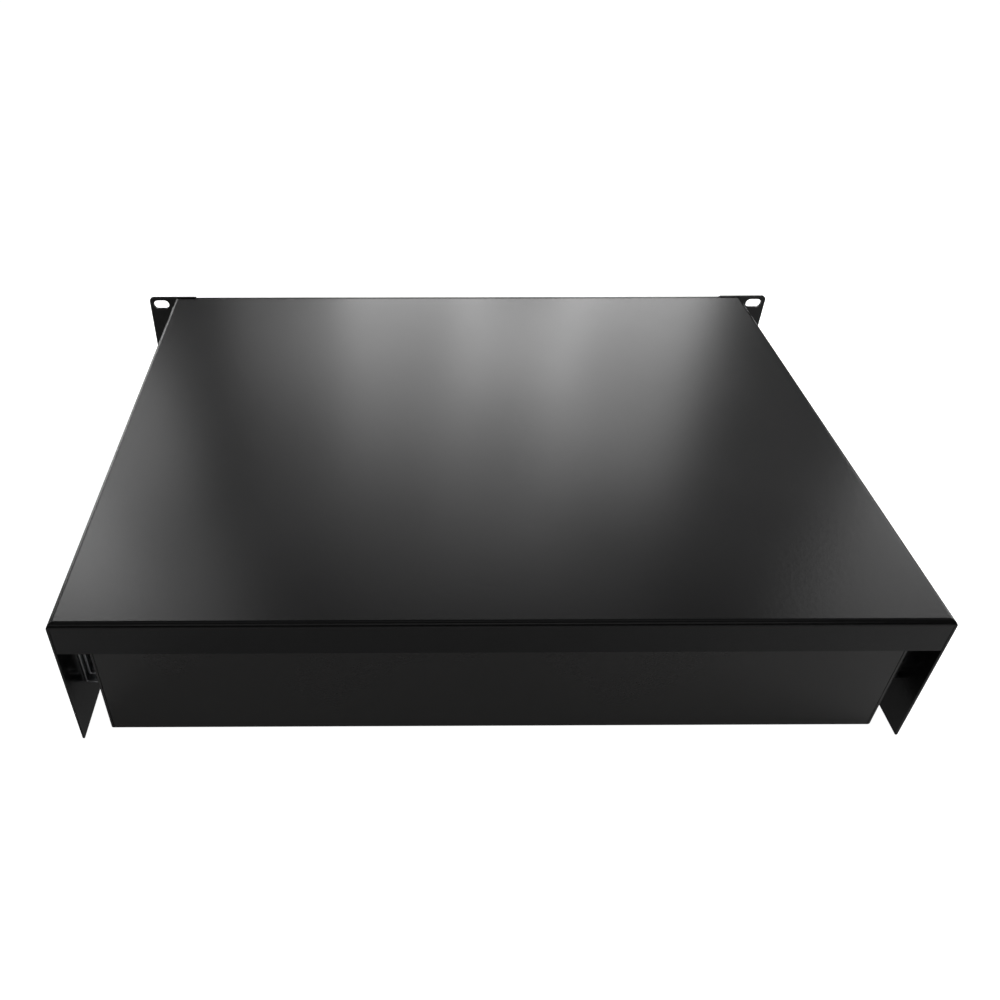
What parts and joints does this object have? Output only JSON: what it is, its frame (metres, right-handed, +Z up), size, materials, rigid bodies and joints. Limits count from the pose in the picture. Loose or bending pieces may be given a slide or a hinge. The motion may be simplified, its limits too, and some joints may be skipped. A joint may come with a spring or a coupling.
{
  "type": "fiber termination box",
  "caption": "Rack-mount fibre termination box: a black steel sleeve with rack ears, and a drawer on ball-bearing slides that holds adapter plates, splice trays and slack spools.",
  "frame": {"origin": "centre of the overall box at its base, half way between the rear lip and the adapters' dust caps", "axes": "+Z up, +Y to the plain rear, so the ears and the drawer's front panel face -Y; +X to the right seen from the front"},
  "size_m": [0.4826, 0.368, 0.088],
  "materials": {
    "black_steel": "satin black powder coat",
    "zinc_steel": "zinc plated",
    "ball_steel": "polished",
    "black_plastic": "fine matt",
    "blue_plastic": "moulded, semi-gloss",
    "cap_plastic": "natural polythene",
    "tray_plastic": "off-white moulded",
    "clear_plastic": "clear",
    "rubber": "matt",
    "brass": "bright"
  },
  "bodies": {
    "chassis": {"sleeve": "black_steel", "ear_left": "black_steel", "ear_right": "black_steel", "ear_rivets": "black_steel", "slide_outer_left": "zinc_steel", "slide_outer_right": "zinc_steel", "slide_rivets": "black_steel"},
    "drawer": {"drawer_tray": "black_steel", "front_panel": "black_steel", "panel_screws": "zinc_steel", "slide_inner_left": "zinc_steel", "slide_inner_right": "zinc_steel", "slide_spacers": "black_steel", "slide_screws": "zinc_steel", "adapter_plate_1": "black_steel", "adapter_plate_2": "black_steel", "adapter_plate_3": "black_steel", "adapter_plate_4": "black_steel", "adapter_plate_5": "black_steel", "adapter_plate_6": "black_steel", "plate_rivets": "black_plastic", "adapters_1": "blue_plastic", "adapters_2": "blue_plastic", "adapters_3": "blue_plastic", "adapters_4": "blue_plastic", "adapters_5": "blue_plastic", "adapters_6": "blue_plastic", "front_dust_caps": "cap_plastic", "rear_dust_caps": "cap_plastic", "splice_tray_1": "tray_plastic", "splice_tray_2": "tray_plastic", "splice_tray_3": "tray_plastic", "splice_combs": "tray_plastic", "splice_lid": "clear_plastic", "tray_studs": "zinc_steel", "wing_nuts": "zinc_steel", "slack_spool_left": "black_plastic", "slack_spool_right": "black_plastic", "floor_screws": "zinc_steel", "fibre_clips": "cap_plastic", "cable_grommets": "rubber", "cable_clamps": "zinc_steel", "ground_stud": "brass", "latch_grommets": "black_plastic", "lever_pins": "zinc_steel"},
    "middle_left": {"slide_middle_left": "zinc_steel"},
    "outer_balls_left": {"ball_cage_outer_left": "zinc_steel", "balls_outer_left": "ball_steel"},
    "inner_balls_left": {"ball_cage_inner_left": "zinc_steel", "balls_inner_left": "ball_steel"},
    "latch_left": {"latch_plunger_left": "black_plastic"},
    "lever_left": {"release_lever_left": "black_plastic"},
    "middle_right": {"slide_middle_right": "zinc_steel"},
    "outer_balls_right": {"ball_cage_outer_right": "zinc_steel", "balls_outer_right": "ball_steel"},
    "inner_balls_right": {"ball_cage_inner_right": "zinc_steel", "balls_inner_right": "ball_steel"},
    "latch_right": {"latch_plunger_right": "black_plastic"},
    "lever_right": {"release_lever_right": "black_plastic"}
  },
  "joints": [
    {"name": "drawer_slide", "type": "slide", "parent": "chassis", "child": "drawer", "axis": [0, -1, 0], "range_m": [0, 0.3]},
    {"name": "middle_left_slide", "type": "slide", "parent": "chassis", "child": "middle_left", "axis": [0, -1, 0], "range_m": [0, 0.15]},
    {"name": "outer_balls_left_slide", "type": "slide", "parent": "chassis", "child": "outer_balls_left", "axis": [0, -1, 0], "range_m": [0, 0.075]},
    {"name": "inner_balls_left_slide", "type": "slide", "parent": "chassis", "child": "inner_balls_left", "axis": [0, -1, 0], "range_m": [0, 0.225]},
    {"name": "latch_left_pull", "type": "slide", "parent": "drawer", "child": "latch_left", "axis": [0, -1, 0], "range_m": [0, 0.004]},
    {"name": "release_left_press", "type": "hinge", "parent": "drawer", "child": "lever_left", "pos_m": [-0.2129, 0.002, 0.0445], "axis": [1, 0, 0], "range_deg": [0, 8], "stiffness_Nm_per_rad": 0.05},
    {"name": "middle_right_slide", "type": "slide", "parent": "chassis", "child": "middle_right", "axis": [0, -1, 0], "range_m": [0, 0.15]},
    {"name": "outer_balls_right_slide", "type": "slide", "parent": "chassis", "child": "outer_balls_right", "axis": [0, -1, 0], "range_m": [0, 0.075]},
    {"name": "inner_balls_right_slide", "type": "slide", "parent": "chassis", "child": "inner_balls_right", "axis": [0, -1, 0], "range_m": [0, 0.225]},
    {"name": "latch_right_pull", "type": "slide", "parent": "drawer", "child": "latch_right", "axis": [0, -1, 0], "range_m": [0, 0.004]},
    {"name": "release_right_press", "type": "hinge", "parent": "drawer", "child": "lever_right", "pos_m": [0.2129, 0.002, 0.0445], "axis": [1, 0, 0], "range_deg": [-8, 0], "stiffness_Nm_per_rad": 0.05}
  ],
  "couplings": [
    {"joint": "middle_left_slide", "follows": "drawer_slide", "ratio": 0.5},
    {"joint": "outer_balls_left_slide", "follows": "drawer_slide", "ratio": 0.25},
    {"joint": "inner_balls_left_slide", "follows": "drawer_slide", "ratio": 0.75},
    {"joint": "middle_right_slide", "follows": "drawer_slide", "ratio": 0.5},
    {"joint": "outer_balls_right_slide", "follows": "drawer_slide", "ratio": 0.25},
    {"joint": "inner_balls_right_slide", "follows": "drawer_slide", "ratio": 0.75}
  ]
}
